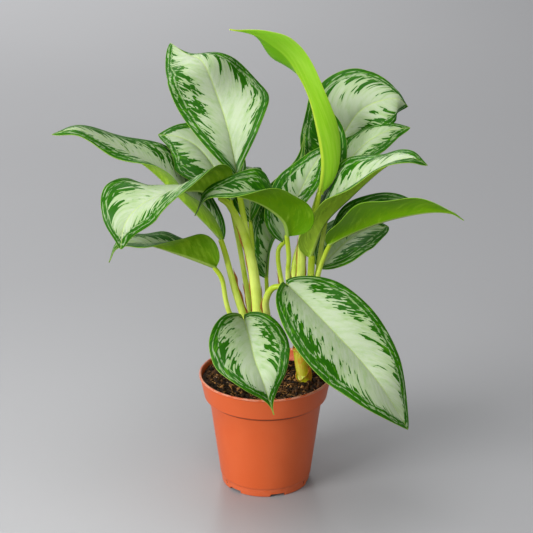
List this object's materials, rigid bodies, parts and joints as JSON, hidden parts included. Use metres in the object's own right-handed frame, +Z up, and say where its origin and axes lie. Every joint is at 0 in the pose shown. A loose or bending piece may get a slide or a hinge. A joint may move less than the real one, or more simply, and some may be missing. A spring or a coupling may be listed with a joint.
{
  "type": "potted chinese evergreen",
  "caption": "Leafy houseplant with broad silver and green blades on long pale stalks, standing in a round tapered terracotta-coloured plastic nursery pot filled with dark peat.",
  "frame": {"origin": "middle of the pot's foot, on the plane that the pot stands on", "axes": "+Z up along the pot's axis, +X to the right and +Y to the back as the plant is seen from its front"},
  "size_m": [0.3472, 0.2353, 0.423],
  "materials": {
    "pot_plastic": "satin moulded plastic, terracotta coloured",
    "soil_peat": "rough, moist fibrous peat",
    "stalk_green": "smooth fleshy plant tissue, yellow green",
    "leaf_variegated": "leathery satin leaf, silver green with dark green bands",
    "leaf_young": "smooth satin young leaf, bright green"
  },
  "bodies": {
    "root": {"pot": "pot_plastic", "soil": "soil_peat", "shoot_left": "stalk_green", "shoot_right": "stalk_green", "leaf_tall_left": "leaf_variegated", "leaf_long_left": "leaf_variegated", "leaf_back_left": "leaf_variegated", "leaf_pale_left": "leaf_variegated", "leaf_low_left": "leaf_variegated", "leaf_back": "leaf_variegated", "leaf_back_middle": "leaf_variegated", "leaf_front_left": "leaf_variegated", "leaf_front_right": "leaf_variegated", "leaf_middle": "leaf_variegated", "leaf_centre": "leaf_variegated", "leaf_new_rolled": "leaf_young", "leaf_upper_right": "leaf_variegated", "leaf_behind_new": "leaf_variegated", "leaf_tucked_right": "leaf_variegated", "leaf_arching_right": "leaf_variegated", "leaf_long_right": "leaf_variegated", "leaf_low_right": "leaf_variegated"}
  },
  "joints": []
}
